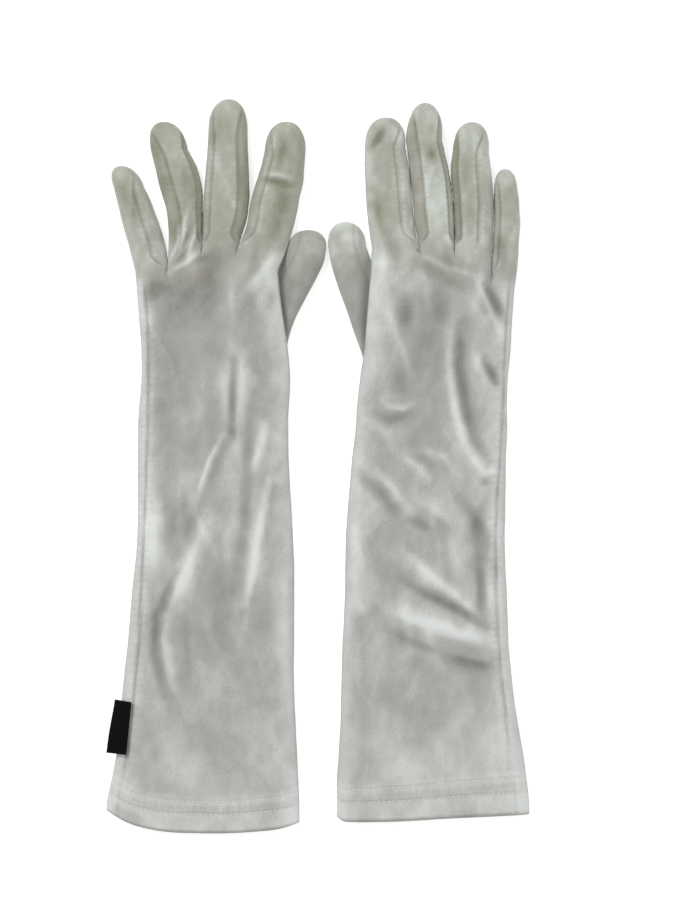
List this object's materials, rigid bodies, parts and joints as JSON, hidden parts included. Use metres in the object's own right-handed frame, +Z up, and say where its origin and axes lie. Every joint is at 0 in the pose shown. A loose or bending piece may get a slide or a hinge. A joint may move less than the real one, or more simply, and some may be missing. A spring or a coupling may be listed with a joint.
{
  "type": "opera gloves",
  "caption": "Pair of long stretch-velour gloves that reach the elbow, with sewn fingers, set-in thumbs, turned stitched hems and a blank side label.",
  "frame": {"origin": "on the surface the gloves lie on, in the middle of the pair's bounding box", "axes": "+X from the left glove to the right one, +Y from the cuffs to the fingertips, +Z up from the surface"},
  "size_m": [0.2537, 0.4404, 0.017],
  "materials": {
    "velour": "soft brushed pile with a pale sheen",
    "thread": "matt sewing thread",
    "woven_label": "smooth woven satin, blank"
  },
  "bodies": {
    "left_forearm": {"left_sleeve": "velour", "left_hem": "velour", "left_hem_stitches_lower": "thread", "left_hem_stitches_upper": "thread", "left_sleeve_seam": "thread"},
    "right_forearm": {"right_sleeve": "velour", "right_hem": "velour", "right_hem_stitches_lower": "thread", "right_hem_stitches_upper": "thread", "right_sleeve_seam": "thread"},
    "left_palm": {"left_hand": "velour", "left_thumb_root": "velour", "left_hand_seam": "thread"},
    "left_index": {"left_index_finger": "velour", "left_index_fourchette_left": "velour"},
    "left_middle": {"left_middle_finger": "velour", "left_middle_fourchette_left": "velour", "left_middle_fourchette_right": "velour"},
    "left_ring": {"left_ring_finger": "velour", "left_ring_fourchette_left": "velour", "left_ring_fourchette_right": "velour"},
    "left_little": {"left_little_finger": "velour", "left_little_fourchette_right": "velour", "left_little_finger_seam": "thread"},
    "left_thumb_stall": {"left_thumb": "velour"},
    "right_palm": {"right_hand": "velour", "right_thumb_root": "velour", "right_hand_seam": "thread"},
    "right_index": {"right_index_finger": "velour", "right_index_fourchette_right": "velour"},
    "right_middle": {"right_middle_finger": "velour", "right_middle_fourchette_left": "velour", "right_middle_fourchette_right": "velour"},
    "right_ring": {"right_ring_finger": "velour", "right_ring_fourchette_left": "velour", "right_ring_fourchette_right": "velour"},
    "right_little": {"right_little_finger": "velour", "right_little_fourchette_left": "velour", "right_little_finger_seam": "thread"},
    "right_thumb_stall": {"right_thumb": "velour"},
    "left_tab": {"left_label": "woven_label"}
  },
  "joints": [
    {"name": "right_glove_slide", "type": "slide", "parent": "left_forearm", "child": "right_forearm", "axis": [1, 0, 0], "range_m": [0, 0.15]},
    {"name": "left_wrist_fold", "type": "hinge", "parent": "left_forearm", "child": "left_palm", "pos_m": [-0.06245, 0.025, 0.0142], "axis": [1, 0, 0], "range_deg": [0, 70]},
    {"name": "left_index_fold", "type": "hinge", "parent": "left_palm", "child": "left_index", "pos_m": [-0.0329, 0.1315, 0.0132], "axis": [1, 0, 0], "range_deg": [0, 85]},
    {"name": "left_middle_fold", "type": "hinge", "parent": "left_palm", "child": "left_middle", "pos_m": [-0.05935, 0.1315, 0.0132], "axis": [1, 0, 0], "range_deg": [0, 85]},
    {"name": "left_ring_fold", "type": "hinge", "parent": "left_palm", "child": "left_ring", "pos_m": [-0.0795, 0.1315, 0.0132], "axis": [1, 0, 0], "range_deg": [0, 85]},
    {"name": "left_little_fold", "type": "hinge", "parent": "left_palm", "child": "left_little", "pos_m": [-0.10035, 0.1174, 0.0142], "axis": [1, 0, 0], "range_deg": [0, 85]},
    {"name": "left_thumb_fold", "type": "hinge", "parent": "left_palm", "child": "left_thumb_stall", "pos_m": [-0.0172, 0.09, 0.0113], "axis": [0, -1, 0], "range_deg": [0, 80]},
    {"name": "right_wrist_fold", "type": "hinge", "parent": "right_forearm", "child": "right_palm", "pos_m": [0.0682, 0.025, 0.0142], "axis": [1, 0, 0], "range_deg": [0, 70]},
    {"name": "right_index_fold", "type": "hinge", "parent": "right_palm", "child": "right_index", "pos_m": [0.0464, 0.1315, 0.0132], "axis": [1, 0, 0], "range_deg": [0, 85]},
    {"name": "right_middle_fold", "type": "hinge", "parent": "right_palm", "child": "right_middle", "pos_m": [0.0719, 0.1315, 0.0132], "axis": [1, 0, 0], "range_deg": [0, 85]},
    {"name": "right_ring_fold", "type": "hinge", "parent": "right_palm", "child": "right_ring", "pos_m": [0.09305, 0.1315, 0.0132], "axis": [1, 0, 0], "range_deg": [0, 85]},
    {"name": "right_little_fold", "type": "hinge", "parent": "right_palm", "child": "right_little", "pos_m": [0.1123, 0.1153, 0.0142], "axis": [1, 0, 0], "range_deg": [0, 85]},
    {"name": "right_thumb_fold", "type": "hinge", "parent": "right_palm", "child": "right_thumb_stall", "pos_m": [0.0269, 0.1, 0.0113], "axis": [0, 1, 0], "range_deg": [0, 80]},
    {"name": "left_label_flap", "type": "hinge", "parent": "left_forearm", "child": "left_tab", "pos_m": [-0.1137, -0.156, 0.0131], "axis": [0.0958, 0.9954, 0], "range_deg": [0, 150]}
  ]
}
